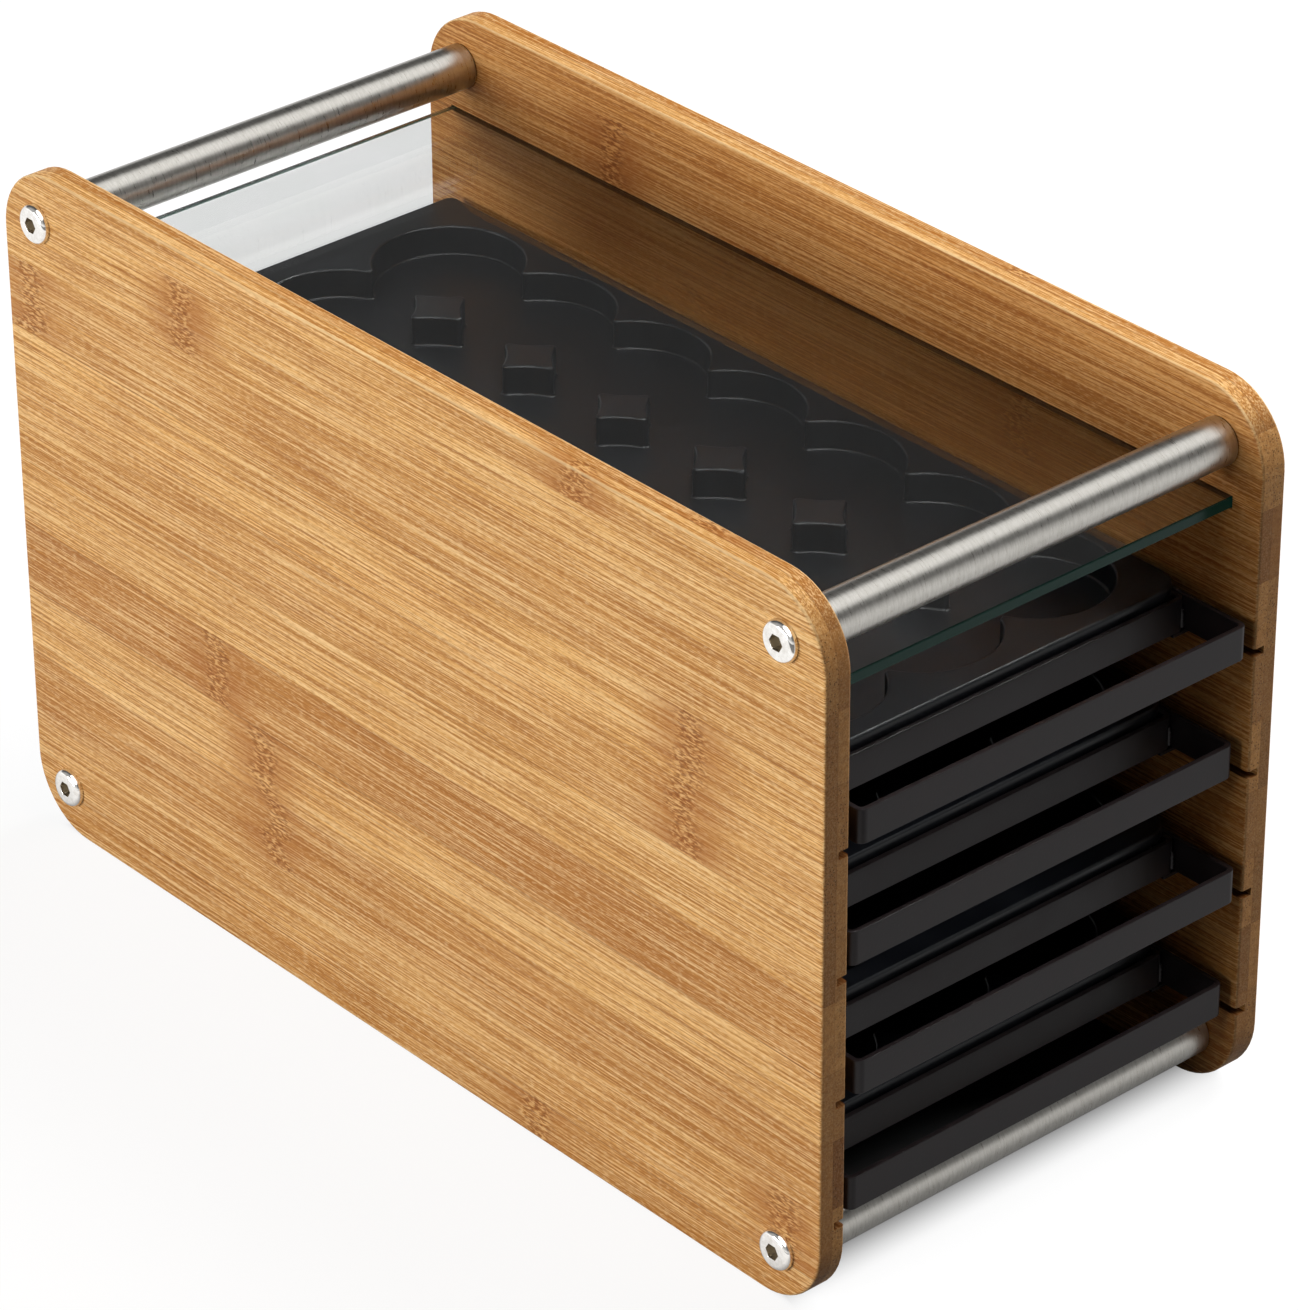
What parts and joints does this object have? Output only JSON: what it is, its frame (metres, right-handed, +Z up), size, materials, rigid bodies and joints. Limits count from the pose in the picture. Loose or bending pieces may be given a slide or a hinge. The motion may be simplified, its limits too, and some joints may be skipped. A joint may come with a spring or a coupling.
{
  "type": "coffee pod drawer",
  "caption": "Coffee pod drawer cabinet: two bamboo side boards on steel rods, a glass shelf in grooves and stacked sliding strip-handled drawers with round-seat trays",
  "frame": {"origin": "Centre of the overall box on the surface that the side boards stand on.", "axes": "+X from the left board to the right board, the drawers pull out along -Y, +Z up."},
  "size_m": [0.1578, 0.3198, 0.203],
  "materials": {
    "bamboo": "satin clear lacquer on laminated bamboo",
    "steel": "brushed stainless steel",
    "chrome": "polished chrome plate",
    "glass": "clear float glass with green ground edges",
    "black_steel": "satin black powder coat on steel strip",
    "black_plastic": "black moulded plastic with a fine grain"
  },
  "bodies": {
    "stand": {"left_board": "bamboo", "right_board": "bamboo", "rod_top_front": "steel", "rod_top_rear": "steel", "rod_bottom_front": "steel", "rod_bottom_rear": "steel", "bolt_left_top_front": "chrome", "bolt_left_top_rear": "chrome", "bolt_left_bottom_front": "chrome", "bolt_left_bottom_rear": "chrome", "bolt_right_top_front": "chrome", "bolt_right_top_rear": "chrome", "bolt_right_bottom_front": "chrome", "bolt_right_bottom_rear": "chrome", "glass_top": "glass"},
    "drawer_1": {"drawer_1_frame": "black_steel", "drawer_1_cross_bar": "black_steel", "drawer_1_runner_left": "black_steel", "drawer_1_runner_right": "black_steel", "drawer_1_pod_tray": "black_plastic"},
    "drawer_2": {"drawer_2_frame": "black_steel", "drawer_2_cross_bar": "black_steel", "drawer_2_runner_left": "black_steel", "drawer_2_runner_right": "black_steel", "drawer_2_pod_tray": "black_plastic"},
    "drawer_3": {"drawer_3_frame": "black_steel", "drawer_3_cross_bar": "black_steel", "drawer_3_runner_left": "black_steel", "drawer_3_runner_right": "black_steel", "drawer_3_pod_tray": "black_plastic"},
    "drawer_4": {"drawer_4_frame": "black_steel", "drawer_4_cross_bar": "black_steel", "drawer_4_runner_left": "black_steel", "drawer_4_runner_right": "black_steel", "drawer_4_pod_tray": "black_plastic"}
  },
  "joints": [
    {"name": "drawer_1_slide", "type": "slide", "parent": "stand", "child": "drawer_1", "axis": [0, -1, 0], "range_m": [-0.003, 0.217]},
    {"name": "drawer_2_slide", "type": "slide", "parent": "stand", "child": "drawer_2", "axis": [0, -1, 0], "range_m": [-0.0004, 0.2196]},
    {"name": "drawer_3_slide", "type": "slide", "parent": "stand", "child": "drawer_3", "axis": [0, -1, 0], "range_m": [-0.0033, 0.2167]},
    {"name": "drawer_4_slide", "type": "slide", "parent": "stand", "child": "drawer_4", "axis": [0, -1, 0], "range_m": [-0.0009, 0.2191]}
  ]
}
